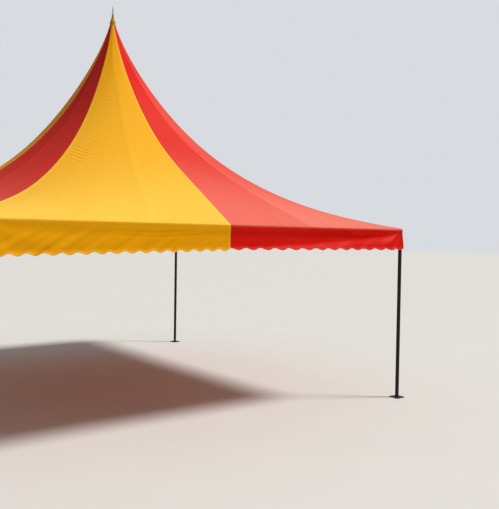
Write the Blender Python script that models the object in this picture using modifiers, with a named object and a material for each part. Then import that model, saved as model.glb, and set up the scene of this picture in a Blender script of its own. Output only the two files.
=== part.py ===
"""A square marquee with a pinched, eight-gore canopy over a steel tube frame.

Four legs and four eave bars carry the edge of the canopy, and a short flying mast, held up by four
crossed stays, lifts its peak. Metres, +Z up, origin on the ground at the middle of the plan.
The front faces -Y. Each side is seen from outside with a yellow left half and a red right half.
"""

import math

import bmesh
import bpy
from mathutils import Matrix, Vector

# Canopy
SIDE = 6.0  # plan width over the valances
EAVE_Z = 2.38  # top of the cloth at the eave
TOP_Z = 5.30  # upper edge of the gores, under the cap
ROOF_PINCH = 2.6  # how sharply the hips sweep up to the peak
TIP_PINCH = 40  # the same for the steep last stretch under the cap
TIP_SHARE = 0.035  # share of the rise that this stretch takes
EAVE_FLARE = 4.0  # how late the round cone turns into the square eave
FULLNESS = {"front": 1.0, "right": 0.8, "back": 0.8, "left": 0.4}  # 1 is a round section, 0 a square one
SHEET = 0.003  # cloth thickness
RED_DROP = 0.265  # valance below the middle of the eave bar
YELLOW_DROP = 0.275
YELLOW_CORNER_DROP = {"front": 0.335, "right": 0.265, "back": 0.265, "left": 0.265}
RED_SCALLOPS = 14  # on half a side
YELLOW_SCALLOPS = 18
SCALLOP_DEPTH = 0.025

# Steel frame
TUBE_D = 0.050  # legs and eave bars
TUBE_WALL = 0.003
SOCKET_ARM = 0.12  # from a corner's middle to the end of each arm
SPIGOT = 0.060  # length of every plug inside a tube
SPIGOT_FIT = 0.0003  # all round a plug
PLATE_SIDE = 0.160
PLATE_T = 0.008
MAST_D = 0.060
MAST_FOOT_Z = 2.17  # where the four stays meet
FOOT_HUB_D = 0.090
FOOT_HUB_H = 0.050
STAY_FALL = 0.060  # the stays leave a corner this far under the bars' middle
BOSS_D = 0.020
CORNER_BOSS = 0.100  # reach of a boss from the corner's middle
HUB_BOSS = 0.085  # reach of a boss from the mast's middle
CABLE_D = 0.008
BUCKLE_D = 0.024
BUCKLE_BODY = 0.160
BUCKLE_ROD_D = 0.012
BUCKLE_ROD = 0.060

# Peak
CROWN_D = 0.076
CROWN_ABOVE = 0.040  # crown sleeve above the gores' upper edge
CROWN_BELOW = 0.060
CAP_H = 0.158
CAP_SKIRT = 0.050
SPIKE_D = 0.016
SPIKE_H = 0.122  # above the cap
SPIKE_TIP_D = 0.003
FLANGE_T = 0.006

# Fit and fineness
TOUCH = 0.0003  # gap between pieces that rest on each other
WRAP_CLEAR = 0.0009  # cloth to bar, where the cloth's edge turns over it
ROWS = 13
COLUMNS = 4
WRAP_STEPS = 4
SCALLOP_POINTS = 6
ROUND = 16  # sides of a tube

HALF = SIDE / 2
BAR_R = TUBE_D / 2
WRAP_OUT = SHEET + WRAP_CLEAR + BAR_R  # outer radius of the cloth over a bar
AXIS = HALF - WRAP_OUT  # bars and legs stand on this line
BAR_Z = EAVE_Z - WRAP_OUT
BORE_D = TUBE_D - 2 * TUBE_WALL
MAST_BORE_D = MAST_D - 2 * TUBE_WALL
COLUMN_ANGLE = math.radians(45) / COLUMNS
NECK_R = (CROWN_D / 2 + TOUCH) / math.cos(COLUMN_ANGLE / 2)  # inner edge of the gores
HIP_R = AXIS * math.sqrt(2)
RISE = TOP_Z - EAVE_Z
STAY_START = Vector((AXIS, -AXIS, BAR_Z - STAY_FALL))
STAY_END = Vector((0, 0, MAST_FOOT_Z))
SIDES = ("front", "right", "back", "left")
CORNERS = ("front_right", "back_right", "back_left", "front_left")

COLOURS = {
    "yellow": ((0.90, 0.45, 0.03, 1), 0.55, 0.0),
    "red": ((0.72, 0.05, 0.03, 1), 0.55, 0.0),
    "paint": ((0.012, 0.012, 0.014, 1), 0.45, 0.3),
    "zinc": ((0.42, 0.43, 0.44, 1), 0.40, 0.9),
}

for old in list(bpy.data.objects):
    bpy.data.objects.remove(old, do_unlink=True)

parts = bpy.data.collections.new("marquee_tent")
cutters = bpy.data.collections.new("construction")
for collection in (parts, cutters):
    bpy.context.scene.collection.children.link(collection)


def finish(obj, kind):
    """Give a piece its own material of a kind."""
    colour, roughness, metallic = COLOURS[kind]
    material = bpy.data.materials.new(obj.name + "_finish")
    material.use_nodes = True
    shader = material.node_tree.nodes["Principled BSDF"]
    shader.inputs["Base Color"].default_value = colour
    shader.inputs["Roughness"].default_value = roughness
    shader.inputs["Metallic"].default_value = metallic
    obj.data.materials.clear()
    obj.data.materials.append(material)


def place(name, data, kind, parent=None, home=parts):
    """A named object in the part's collection, or in the construction collection."""
    obj = bpy.data.objects.new(name, data)
    home.objects.link(obj)
    obj.parent = parent
    if home is cutters:
        obj.hide_render = True
        obj.display_type = "WIRE"
    else:
        finish(obj, kind)
    return obj


def empty(name, turn):
    """A guide turned by a number of quarter turns about the middle of the plan."""
    guide = bpy.data.objects.new(name, None)
    cutters.objects.link(guide)
    guide.rotation_euler = (0, 0, turn * math.pi / 2)
    return guide


def mesh_of(bm, name, smooth=True):
    bmesh.ops.recalc_face_normals(bm, faces=bm.faces)
    mesh = bpy.data.meshes.new(name)
    bm.to_mesh(mesh)
    bm.free()
    if smooth:
        mesh.shade_smooth()
        mesh.set_sharp_from_angle(angle=math.radians(35))
    return mesh


def rod(start, end, diameter, end_diameter=None, sides=ROUND):
    """A straight round bar, or a taper, between two points, as a bmesh."""
    start, end = Vector(start), Vector(end)
    bm = bmesh.new()
    bmesh.ops.create_cone(
        bm,
        cap_ends=True,
        segments=sides,
        radius1=diameter / 2,
        radius2=(end_diameter or diameter) / 2,
        depth=(end - start).length,
    )
    turn = Vector((0, 0, 1)).rotation_difference(end - start).to_matrix()
    bmesh.ops.rotate(bm, cent=(0, 0, 0), matrix=turn, verts=bm.verts)
    bmesh.ops.translate(bm, vec=(start + end) / 2, verts=bm.verts)
    return bm


def block(centre, size):
    bm = bmesh.new()
    bmesh.ops.create_cube(bm, size=1)
    bmesh.ops.scale(bm, vec=size, verts=bm.verts)
    bmesh.ops.translate(bm, vec=centre, verts=bm.verts)
    return bm


def ball(centre, diameter):
    bm = bmesh.new()
    bmesh.ops.create_uvsphere(bm, u_segments=ROUND, v_segments=ROUND // 2, radius=diameter / 2)
    bmesh.ops.translate(bm, vec=centre, verts=bm.verts)
    return bm


def combine(obj, shapes, operation):
    """Join shapes to a piece, or cut them out of it."""
    for number, bm in enumerate(shapes):
        name = f"{obj.name}_{operation.lower()}_{number}"
        tool = place(name, mesh_of(bm, name), None, obj.parent, cutters)
        boolean = obj.modifiers.new(name, "BOOLEAN")
        boolean.operation = operation
        boolean.object = tool
        boolean.solver = "EXACT"


def turned(name, profile, kind, parent=None, sides=ROUND):
    """A profile of (radius, height) turned about Z, top to bottom down its outer side.

    A profile that starts on the axis makes a solid, and any other closes on itself as a ring.
    """
    bm = bmesh.new()
    line = [bm.verts.new((r, 0, z)) for r, z in profile]
    ring = profile[0][0] > 0
    for start, end in zip(line, line[1:] + line[:ring]):
        bm.edges.new((start, end))
    mesh = bpy.data.meshes.new(name)
    bm.to_mesh(mesh)
    bm.free()
    obj = place(name, mesh, kind, parent)
    screw = obj.modifiers.new("turn", "SCREW")
    screw.axis = "Z"
    screw.steps = sides
    screw.render_steps = sides
    screw.use_merge_vertices = True
    screw.merge_threshold = 0.0001
    screw.use_smooth_shade = True
    return obj


def tube_profile(outer_d, bore_d, low, high):
    return [(outer_d / 2, high), (outer_d / 2, low), (bore_d / 2, low), (bore_d / 2, high)]


def pinched(r, pinch):
    """1 at the neck and 0 at the far end of a hip, falling off sharply at first."""
    low = math.exp(-pinch)
    return (math.exp(-pinch * r / HIP_R) - low) / (math.exp(-pinch * NECK_R / HIP_R) - low)


def sweep(r):
    """Height over the eave along a hip, at a distance from the middle of the plan."""
    return RISE * ((1 - TIP_SHARE) * pinched(r, ROOF_PINCH) + TIP_SHARE * pinched(r, TIP_PINCH))


def roof_z(side, angle, along):
    """Height of the cloth, at an angle from the middle of a side and a share of the way down."""
    reach = AXIS / math.cos(angle)
    r = NECK_R + along * (reach - NECK_R)
    round_z = sweep(r) - sweep(reach) * along**EAVE_FLARE
    square_z = sweep(NECK_R + along * (HIP_R - NECK_R))
    full = FULLNESS[side]
    return EAVE_Z + full * round_z + (1 - full) * square_z


def upright_thickness(side, angle, along):
    """The cloth's thickness measured straight down, which grows where it is steep."""
    step = 0.001
    low, high = max(along - step, 0), min(along + step, 1)
    run = (high - low) * (AXIS / math.cos(angle) - NECK_R)
    slope = (roof_z(side, angle, low) - roof_z(side, angle, high)) / run
    return SHEET * math.hypot(1, slope)


def gore_point(side, column, row, under):
    """A point of a gore: (distance out from the middle, height)."""
    angle = column * COLUMN_ANGLE
    if row <= ROWS:
        along = (row / ROWS) ** 1.5
        reach = AXIS / math.cos(angle)
        out = (NECK_R + along * (reach - NECK_R)) * math.cos(angle)
        z = roof_z(side, angle, along)
        if under:
            z -= SHEET if row == ROWS else upright_thickness(side, angle, along)
        return out, z
    turn = math.radians(90) * (1 - (row - ROWS) / WRAP_STEPS)
    radius = WRAP_OUT - SHEET if under else WRAP_OUT
    return AXIS + radius * math.cos(turn), BAR_Z + radius * math.sin(turn)


def gore(side, colour, parent):
    """Half a side of the canopy, from the neck down and over the eave bar."""
    hand = 1 if colour == "red" else -1
    seam = TOUCH / 2
    steps = ROWS + WRAP_STEPS
    bm = bmesh.new()
    bmesh.ops.create_grid(bm, x_segments=COLUMNS, y_segments=steps, size=0.5)
    cells = [(v, round((v.co.x + 0.5) * COLUMNS), round((v.co.y + 0.5) * steps)) for v in bm.verts]
    lower = {}
    for vertex, column, row in cells:
        across = math.tan(column * COLUMN_ANGLE)
        upper_out, upper_z = gore_point(side, column, row, False)
        under_out, under_z = gore_point(side, column, row, True)
        spread = 1 + math.sqrt(2)
        vertex.co = (hand * (seam + across * (upper_out - seam * spread)), -upper_out, upper_z)
        lower[vertex.co.to_tuple(7)] = (
            hand * (seam + across * (under_out - seam * spread)),
            -under_out,
            under_z,
        )
    grown = bmesh.ops.extrude_face_region(bm, geom=bm.faces[:])
    for item in grown["geom"]:
        if isinstance(item, bmesh.types.BMVert):
            item.co = lower[item.co.to_tuple(7)]
    name = f"roof_{side}_{colour}"
    return place(name, mesh_of(bm, name), colour, parent)


def valance(side, colour, parent):
    """The scalloped strip under half an eave: a flat outline given the cloth's thickness."""
    red = colour == "red"
    count = RED_SCALLOPS if red else YELLOW_SCALLOPS
    seam_drop = RED_DROP if red else YELLOW_DROP
    corner_drop = RED_DROP if red else YELLOW_CORNER_DROP[side]
    hand = 1 if red else -1
    start = TOUCH / 2
    end = HALF if red else HALF - SHEET - TOUCH
    points = [(end, -TOUCH), (start, -TOUCH)]
    for step in range(count * SCALLOP_POINTS + 1):
        share = step / (count * SCALLOP_POINTS)
        wave = SCALLOP_DEPTH / 2 * math.cos(2 * math.pi * count * share)
        hang = seam_drop + share * (corner_drop - seam_drop)
        points.append((start + share * (end - start), wave - hang))
    name = f"valance_{side}_{colour}"
    curve = bpy.data.curves.new(name, "CURVE")
    curve.dimensions = "2D"
    curve.fill_mode = "BOTH"
    curve.extrude = SHEET / 2
    spline = curve.splines.new("POLY")
    spline.points.add(len(points) - 1)
    for point, (x, y) in zip(spline.points, points):
        point.co = (hand * x, y, 0, 1)
    spline.use_cyclic_u = True
    obj = place(name, curve, colour, parent)
    obj.location = (0, SHEET / 2 - HALF, BAR_Z)
    obj.rotation_euler = (math.pi / 2, 0, 0)
    return obj


def eave_bar(side, parent):
    """A tube that runs between two corner sockets, lying along X at the front."""
    half = AXIS - SOCKET_ARM - TOUCH
    profile = tube_profile(TUBE_D, BORE_D, -half, half)
    obj = turned(f"eave_bar_{side}", profile, "paint", parent)
    obj.location = (0, -AXIS, BAR_Z)
    obj.rotation_euler = (0, math.pi / 2, 0)
    return obj


def stay_way(reach_from_corner=None, reach_from_mast=None):
    """A point on the line of a stay, measured from either of its ends."""
    line = (STAY_END - STAY_START).normalized()
    if reach_from_corner is not None:
        return STAY_START + line * reach_from_corner
    return STAY_END - line * reach_from_mast


def corner_socket(corner, parent):
    """Three arms with plugs for the leg and two bars, and a boss for the stay."""
    middle = Vector((AXIS, -AXIS, BAR_Z))
    plug_d = BORE_D - 2 * SPIGOT_FIT
    name = f"corner_socket_{corner}"
    ways = (Vector((0, 0, -1)), Vector((-1, 0, 0)), Vector((0, 1, 0)))
    body = rod(middle, middle + ways[0] * SOCKET_ARM, TUBE_D)
    obj = place(name, mesh_of(body, name), "paint", parent)
    shapes = [ball(middle, TUBE_D - 4 * TOUCH)]
    for way in ways[1:]:
        shapes.append(rod(middle, middle + way * SOCKET_ARM, TUBE_D))
    for way in ways:
        shapes.append(rod(middle + way * BAR_R, middle + way * (SOCKET_ARM + SPIGOT), plug_d))
    shapes.append(rod(STAY_START, stay_way(CORNER_BOSS), BOSS_D))
    combine(obj, shapes, "UNION")
    return obj


def leg(corner, parent):
    low = PLATE_T + TOUCH
    high = BAR_Z - SOCKET_ARM - TOUCH
    obj = turned(f"leg_{corner}", tube_profile(TUBE_D, BORE_D, low, high), "paint", parent)
    obj.location = (AXIS, -AXIS, 0)
    return obj


def foot_plate(corner, parent):
    """A square plate on the ground with a plug up into the leg."""
    name = f"foot_plate_{corner}"
    plate = block((AXIS, -AXIS, PLATE_T / 2), (PLATE_SIDE, PLATE_SIDE, PLATE_T))
    obj = place(name, mesh_of(plate, name, smooth=False), "paint", parent)
    plug_d = BORE_D - 2 * SPIGOT_FIT
    plug = rod((AXIS, -AXIS, PLATE_T / 2), (AXIS, -AXIS, PLATE_T + SPIGOT), plug_d)
    combine(obj, [plug], "UNION")
    return obj


def stay(corner, parent):
    """A bottle screw at the corner and a taut wire rope from it to the foot of the mast."""
    buckle_start = CORNER_BOSS + TOUCH
    buckle_length = 2 * BUCKLE_ROD + BUCKLE_BODY
    rod_r, body_r = BUCKLE_ROD_D / 2, BUCKLE_D / 2
    profile = [
        (0, buckle_length),
        (rod_r, buckle_length),
        (rod_r, BUCKLE_ROD + BUCKLE_BODY),
        (body_r, BUCKLE_ROD + BUCKLE_BODY),
        (body_r, BUCKLE_ROD),
        (rod_r, BUCKLE_ROD),
        (rod_r, 0),
        (0, 0),
    ]
    buckle = turned(f"turnbuckle_{corner}", profile, "zinc", parent)
    line = STAY_END - STAY_START
    buckle.location = stay_way(buckle_start)
    buckle.rotation_euler = line.to_track_quat("Z", "Y").to_euler()
    wire = rod(
        stay_way(buckle_start + buckle_length + TOUCH),
        stay_way(reach_from_mast=HUB_BOSS + TOUCH),
        CABLE_D,
        sides=ROUND // 2,
    )
    name = f"stay_cable_{corner}"
    place(name, mesh_of(wire, name), "zinc", parent)


def mast():
    low = MAST_FOOT_Z + FOOT_HUB_H / 2 + TOUCH
    high = TOP_Z + CROWN_ABOVE
    return turned("mast", tube_profile(MAST_D, MAST_BORE_D, low, high), "zinc")


def mast_foot():
    """The hub that the stays pull on, with a plug up into the mast."""
    bottom = MAST_FOOT_Z - FOOT_HUB_H / 2
    top = MAST_FOOT_Z + FOOT_HUB_H / 2
    hub = rod((0, 0, bottom), (0, 0, top), FOOT_HUB_D, sides=2 * ROUND)
    obj = place("mast_foot", mesh_of(hub, "mast_foot"), "paint")
    plug = rod((0, 0, MAST_FOOT_Z), (0, 0, top + SPIGOT), MAST_BORE_D - 2 * SPIGOT_FIT)
    shapes = [plug]
    tip = stay_way(reach_from_mast=HUB_BOSS)
    for quarter in range(4):
        boss = rod(STAY_END, tip, BOSS_D)
        turn = Matrix.Rotation(quarter * math.pi / 2, 3, "Z")
        bmesh.ops.rotate(boss, cent=(0, 0, 0), matrix=turn, verts=boss.verts)
        shapes.append(boss)
    combine(obj, shapes, "UNION")


def peak():
    """The crown sleeve that the gores close on, the cloth cap over it and the steel spike."""
    crown = tube_profile(CROWN_D, MAST_D + 2 * TOUCH, TOP_Z - CROWN_BELOW, TOP_Z + CROWN_ABOVE)
    turned("crown_ring", crown, "zinc", sides=2 * ROUND)
    inner = CROWN_D / 2 + 2 * TOUCH
    outer = inner + SHEET
    hole = SPIKE_D / 2 + TOUCH
    low = TOP_Z + TOUCH
    cap = [
        (hole, TOP_Z + CAP_H),
        (hole + SHEET, TOP_Z + CAP_H),
        (outer, TOP_Z + CAP_SKIRT),
        (outer, low),
        (inner, low),
        (inner, TOP_Z + CAP_SKIRT - SHEET / 2),
        (hole, TOP_Z + CAP_H - 2 * SHEET),
    ]
    turned("top_cap", cap, "yellow", sides=2 * ROUND)
    seat = TOP_Z + CROWN_ABOVE + TOUCH
    plug_r = MAST_BORE_D / 2 - SPIGOT_FIT
    spike = [
        (0, TOP_Z + CAP_H + SPIKE_H),
        (SPIKE_TIP_D / 2, TOP_Z + CAP_H + SPIKE_H),
        (SPIKE_D / 2, TOP_Z + CAP_H),
        (SPIKE_D / 2, seat + FLANGE_T),
        (CROWN_D / 2, seat + FLANGE_T),
        (CROWN_D / 2, seat),
        (plug_r, seat),
        (plug_r, seat - SPIGOT),
        (0, seat - SPIGOT),
    ]
    turned("finial_spike", spike, "zinc")


for quarter, (side, corner) in enumerate(zip(SIDES, CORNERS)):
    guide = empty(f"{side}_guide", quarter)
    for colour in ("yellow", "red"):
        gore(side, colour, guide)
        valance(side, colour, guide)
    eave_bar(side, guide)
    corner_socket(corner, guide)
    leg(corner, guide)
    foot_plate(corner, guide)
    stay(corner, guide)
mast()
mast_foot()
peak()
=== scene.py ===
"""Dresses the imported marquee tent: cloth, steel fittings, wire stays, stitching, finishes and light.

Metres, +Z up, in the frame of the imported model. The front faces -Y.
"""

import math

import bmesh
import bpy
import numpy as np
from mathutils import Matrix, Vector


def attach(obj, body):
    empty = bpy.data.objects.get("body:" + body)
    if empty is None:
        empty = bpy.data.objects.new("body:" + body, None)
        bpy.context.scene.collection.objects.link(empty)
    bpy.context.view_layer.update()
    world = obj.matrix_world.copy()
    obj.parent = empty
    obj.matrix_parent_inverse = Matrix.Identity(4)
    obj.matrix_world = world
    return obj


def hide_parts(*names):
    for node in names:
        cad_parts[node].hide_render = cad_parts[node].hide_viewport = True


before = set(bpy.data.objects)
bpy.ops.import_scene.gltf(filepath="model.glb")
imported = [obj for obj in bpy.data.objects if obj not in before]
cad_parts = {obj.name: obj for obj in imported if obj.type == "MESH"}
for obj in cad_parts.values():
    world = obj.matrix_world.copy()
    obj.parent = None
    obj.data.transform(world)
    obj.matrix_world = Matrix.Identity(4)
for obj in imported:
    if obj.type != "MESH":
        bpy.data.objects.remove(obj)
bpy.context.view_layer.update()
scene = bpy.context.scene

# ---------- sizes, as in the solids
SIDE = 6.0
EAVE_Z = 2.38
TOP_Z = 5.30
ROOF_PINCH = 2.6
TIP_PINCH = 40
TIP_SHARE = 0.035
EAVE_FLARE = 4.0
FULLNESS = {"front": 1.0, "right": 0.8, "back": 0.8, "left": 0.4}
SHEET = 0.003
RED_DROP = 0.265
YELLOW_DROP = 0.275
YELLOW_CORNER_DROP = {"front": 0.335, "right": 0.265, "back": 0.265, "left": 0.265}
RED_SCALLOPS = 14
YELLOW_SCALLOPS = 18
SCALLOP_DEPTH = 0.025
TUBE_D = 0.050
TUBE_WALL = 0.003
SOCKET_ARM = 0.12
SPIGOT = 0.060
SPIGOT_FIT = 0.0003
PLATE_SIDE = 0.160
PLATE_T = 0.008
MAST_D = 0.060
MAST_FOOT_Z = 2.17
FOOT_HUB_D = 0.090
FOOT_HUB_H = 0.050
STAY_FALL = 0.060
BOSS_D = 0.020
CORNER_BOSS = 0.100
HUB_BOSS = 0.085
CABLE_D = 0.008
BUCKLE_D = 0.024
BUCKLE_BODY = 0.160
BUCKLE_ROD_D = 0.012
BUCKLE_ROD = 0.060
CROWN_D = 0.076
CROWN_ABOVE = 0.040
CROWN_BELOW = 0.060
CAP_H = 0.158
CAP_SKIRT = 0.050
SPIKE_D = 0.016
SPIKE_H = 0.122
SPIKE_TIP_D = 0.003
FLANGE_T = 0.006
TOUCH = 0.0003
WRAP_CLEAR = 0.0009

HALF = SIDE / 2
BAR_R = TUBE_D / 2
WRAP_OUT = SHEET + WRAP_CLEAR + BAR_R
AXIS = HALF - WRAP_OUT
BAR_Z = EAVE_Z - WRAP_OUT
BORE_D = TUBE_D - 2 * TUBE_WALL
MAST_BORE_D = MAST_D - 2 * TUBE_WALL
NECK_R = 0.0385
HIP_R = AXIS * math.sqrt(2)
RISE = TOP_Z - EAVE_Z
STAY_START = Vector((AXIS, -AXIS, BAR_Z - STAY_FALL))
STAY_END = Vector((0, 0, MAST_FOOT_Z))
STAY_LINE = (STAY_END - STAY_START).normalized()
SIDES = ("front", "right", "back", "left")
CORNERS = ("front_right", "back_right", "back_left", "front_left")
COLOURS = ("yellow", "red")
UP = (0, 0, 1)

# ---------- sizes of what the scene adds
CLOTH_T = 0.0018
CAP_CLOTH_T = 0.0012
FINE = 48  # sides of a tube

# The canopy's panels, columns and rows
PANELS = 4  # cloth panels in one side
PANEL_ANGLE = math.radians(90) / PANELS
PANEL_COLUMNS = 8
SEAM_STEPS = (0.0, 0.012, 0.024, 0.034)  # columns beside a seam
SEAM_SHARES = (0.0, 0.09, 0.18, 0.25)  # the most of a panel that they take near the peak
PER_PANEL = PANEL_COLUMNS + 2 * len(SEAM_STEPS) - 1
PER_SIDE = PANELS * PER_PANEL
HIP_CLOSENESS = 1.7  # columns crowd towards the hips, where the creases run
SEAM_SHIFT = 0.075  # radians from an even place, for the seam inside a yellow gore
ROOF_ROWS = 190
WRAP_ROWS = 9  # over the eave bar, and two more down to the hem

# The canopy's form
NECK_CLEAR = 0.0022  # the cloth stands off the neck
HIP_ROUND, EAVE_ROUND = 0.0005, 0.0105  # radius of the plan's corner up the slope and at the eave
LAP_OUT = 0.0020  # the edge stands off the valance
HEM_LAP = 0.014  # the edge laps over the valance by this much
HEM_EDGE = 0.0012  # its last row but one lies this far above the last
PULL_IN = 0.003  # of the cloth between two seams
SEAM_PROUD = 0.0012  # the doubled cloth of a seam
GATHER = 0.0010  # under the crown
SLOW_WAVE = 0.0018  # of the whole roof
CORNER_FOLD = 0.0036  # folds that fan up from each corner
CREASE_DEPTH = 0.0007  # short creases off the hips
CREASE_SPACING = 0.082
# Their bands: from and to as shares of the slope, softness, depth
CREASE_BANDS = ((0.20, 0.27, 0.03, 0.4), (0.37, 0.52, 0.05, 1.0), (0.62, 0.84, 0.06, 1.0))
SIDE_SLACK = (1.0, 0.6, 0.5, 0.4)  # how deep they are on each of SIDES

# Painted light and shade that panels add to the cloth's colour, and lighter tape or a painted shadow that seams add
PANEL_PAINTED_LIGHT = (0.06, 0.05, -0.03, 0.11)  # painted light and shade on the panels of a side, from left to right
YELLOW_SEAM_FADED, RED_SEAM_PAINTED_SHADOW, PANEL_SEAM_FADED = 0.20, -0.05, 0.04

# The valance
SCALLOP_COLUMNS = 252  # on half a side, a whole number for each scallop of both colours
# Shares of the drop at its rows, closer together under the canopy's edge and at the hem
VALANCE_DOWN = [0, 0.052, 0.056, 0.063, *np.linspace(0.10, 0.50, 11), *np.linspace(0.57, 0.93, 6), 0.95, 0.993, 1]
VALANCE_ROWS = len(VALANCE_DOWN)
HEM_ROWS = (-0.0003, 0.0005, 0.0022)  # how far its second to fourth row lie below the canopy's edge
STEP_OUT = 0.0021  # what hangs free stands further out than what is sewn in
LEAN_OUT = 0.003
LIGHT_THROUGH = 0.30  # share of the light that cloth lets through
FOLD_DROP = 0.142  # how far down its long corner fold runs, a metre from the corner
FOLD_KICK = 0.62  # how steeply the cloth stands out below that fold
FOLD_RETURN = 0.42  # how much of that it loses lower down
TUCK = 0.32  # how steeply it falls inward above that fold
FAN_FOLD = 0.013  # small folds that fan from the corner
RIPPLE, RIPPLE_SPACING = 0.0010, 0.045
SCALLOP_CURL = 0.0022
HEM_PROUD, HEM_KICK = 0.0009, 0.0060

# The cap
CAP_ROWS, CAP_COLUMNS, CAP_SEAMS = 64, 128, 8
CAP_GIRTH = 0.262


# ---------- camera
EYE = Vector((-4.533, -9.17, 2.228))
YAW, PITCH, ROLL = math.radians(37.92), math.radians(-1.50), math.radians(0.89)
FOCAL_PIXELS, LONG_SIDE_PIXELS, SENSOR = 677, 509, 36.0


def make_camera():
    """The camera of the photograph, from a fit to the hips, seams, eave, poles and peak."""
    ahead = Vector((math.sin(YAW) * math.cos(PITCH), math.cos(YAW) * math.cos(PITCH), math.sin(PITCH)))
    right = Vector((math.cos(YAW), -math.sin(YAW), 0))
    up = right.cross(ahead)
    level = Matrix.Rotation(ROLL, 3, -ahead)
    data = bpy.data.cameras.new("photo_camera")
    data.sensor_width = SENSOR
    data.lens = SENSOR * FOCAL_PIXELS / LONG_SIDE_PIXELS
    data.clip_end = 400
    camera = bpy.data.objects.new("photo_camera", data)
    scene.collection.objects.link(camera)
    turn = Matrix((level @ right, level @ up, -ahead)).transposed().to_4x4()
    camera.matrix_world = Matrix.Translation(EYE) @ turn
    scene.camera = camera


# ---------- nodes
VECTOR, FLOAT, WHOLE = "NodeSocketVector", "NodeSocketFloat", "NodeSocketInt"
GEOMETRY, MATERIAL = "NodeSocketGeometry", "NodeSocketMaterial"


def feed(tree, target, values):
    """Sets a node's inputs to values, or links them to other nodes' sockets."""
    for key, value in values.items():
        if isinstance(value, bpy.types.NodeSocket):
            tree.links.new(value, target.inputs[key])
        else:
            target.inputs[key].default_value = value
    return target


def node(tree, kind, inputs=None, **settings):
    new = tree.nodes.new(kind)
    for key, value in settings.items():
        setattr(new, key, value)
    return feed(tree, new, inputs or {})


def made(tree, kind, inputs=None, **settings):
    """The first output of a new node."""
    return node(tree, kind, inputs, **settings).outputs[0]


def sums(tree, operation, *values, clamp=False):
    return made(tree, "ShaderNodeMath", dict(enumerate(values)), operation=operation, use_clamp=clamp)


def group(kind, name, inputs, outputs):
    """An empty node group with named sockets: (tree, its inputs, its output node)."""
    tree = bpy.data.node_groups.new(name, kind)
    for label, socket_kind, *value in inputs:
        socket = tree.interface.new_socket(label, in_out="INPUT", socket_type=socket_kind)
        if value:
            socket.default_value = value[0]
    for label, socket_kind in outputs:
        tree.interface.new_socket(label, in_out="OUTPUT", socket_type=socket_kind)
    return tree, tree.nodes.new("NodeGroupInput").outputs, tree.nodes.new("NodeGroupOutput")


# ---------- shader helpers
def paint(red, green, blue):
    """A linear colour from the 0 to 255 values that a screen shows."""
    shares = (red / 255, green / 255, blue / 255)
    return (*(c / 12.92 if c <= 0.04045 else ((c + 0.055) / 1.055) ** 2.4 for c in shares), 1.0)


def spread(tree, value, low, high, to_low=0.0, to_high=1.0):
    """The value's range from low to high, eased and moved to another range."""
    inputs = {"Value": value, "From Min": low, "From Max": high, "To Min": to_low, "To Max": to_high}
    return made(tree, "ShaderNodeMapRange", inputs, interpolation_type="SMOOTHSTEP")


def mixed(tree, share, first, second):
    return node(tree, "ShaderNodeMix", {0: share, 6: first, 7: second}, data_type="RGBA").outputs[2]


def noise(tree, vector, scale, detail=3.0, roughness=0.55, distortion=0.0):
    inputs = {"Vector": vector, "Scale": scale, "Detail": detail, "Roughness": roughness, "Distortion": distortion}
    return node(tree, "ShaderNodeTexNoise", inputs).outputs["Fac"]


def attribute(tree, name):
    return node(tree, "ShaderNodeAttribute", attribute_name=name).outputs["Fac"]


def bump(tree, height, strength, depth, **under):
    inputs = {"Height": height, "Strength": strength, "Distance": depth, **under}
    return made(tree, "ShaderNodeBump", inputs)


def effect(name, inputs, outputs):
    """An empty shader group that puts out masks and heights."""
    return group("ShaderNodeTree", name, inputs, [(label, FLOAT) for label in outputs])


def use(tree, shared, inputs):
    return node(tree, "ShaderNodeGroup", inputs, node_tree=shared).outputs


def weave_effect():
    """A plain weave under a coating: crossed threads, a little uneven."""
    sockets = [("Cloth Metres", VECTOR), ("Thread Pitch", FLOAT, 0.003)]
    tree, given, out = effect("coated_weave", sockets, ["Height"])
    axes = node(tree, "ShaderNodeSeparateXYZ", {0: given["Cloth Metres"]}).outputs
    turns = sums(tree, "DIVIDE", math.tau, given["Thread Pitch"])
    threads = [sums(tree, "ABSOLUTE", sums(tree, "SINE", sums(tree, "MULTIPLY", axes[a], turns))) for a in "XY"]
    uneven = noise(tree, given["Cloth Metres"], 60.0, 2.0)
    feed(tree, out, {"Height": sums(tree, "MULTIPLY_ADD", sums(tree, "ADD", *threads), 0.4, uneven)})
    return tree


def weather_effect():
    """Fading, rain streaks and dust on stretched cloth."""
    sockets = [("Place", VECTOR), ("Cloth Metres", VECTOR)]
    tree, given, out = effect("sun_and_rain", sockets, ["Fade", "Streaks", "Dust"])
    broad = noise(tree, given["Place"], 0.55, 4.0, 0.6)
    narrow = made(tree, "ShaderNodeMapping", {"Vector": given["Cloth Metres"], "Scale": (9.0, 0.55, 1.0)})
    runs = noise(tree, narrow, 1.0, 5.0, 0.6)
    specks = noise(tree, given["Place"], 9.0, 6.0, 0.7)
    masks = {"Fade": (broad, 0.38, 0.66), "Streaks": (runs, 0.5, 0.72), "Dust": (specks, 0.52, 0.8)}
    feed(tree, out, {label: spread(tree, *mask) for label, mask in masks.items()})
    return tree


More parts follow.
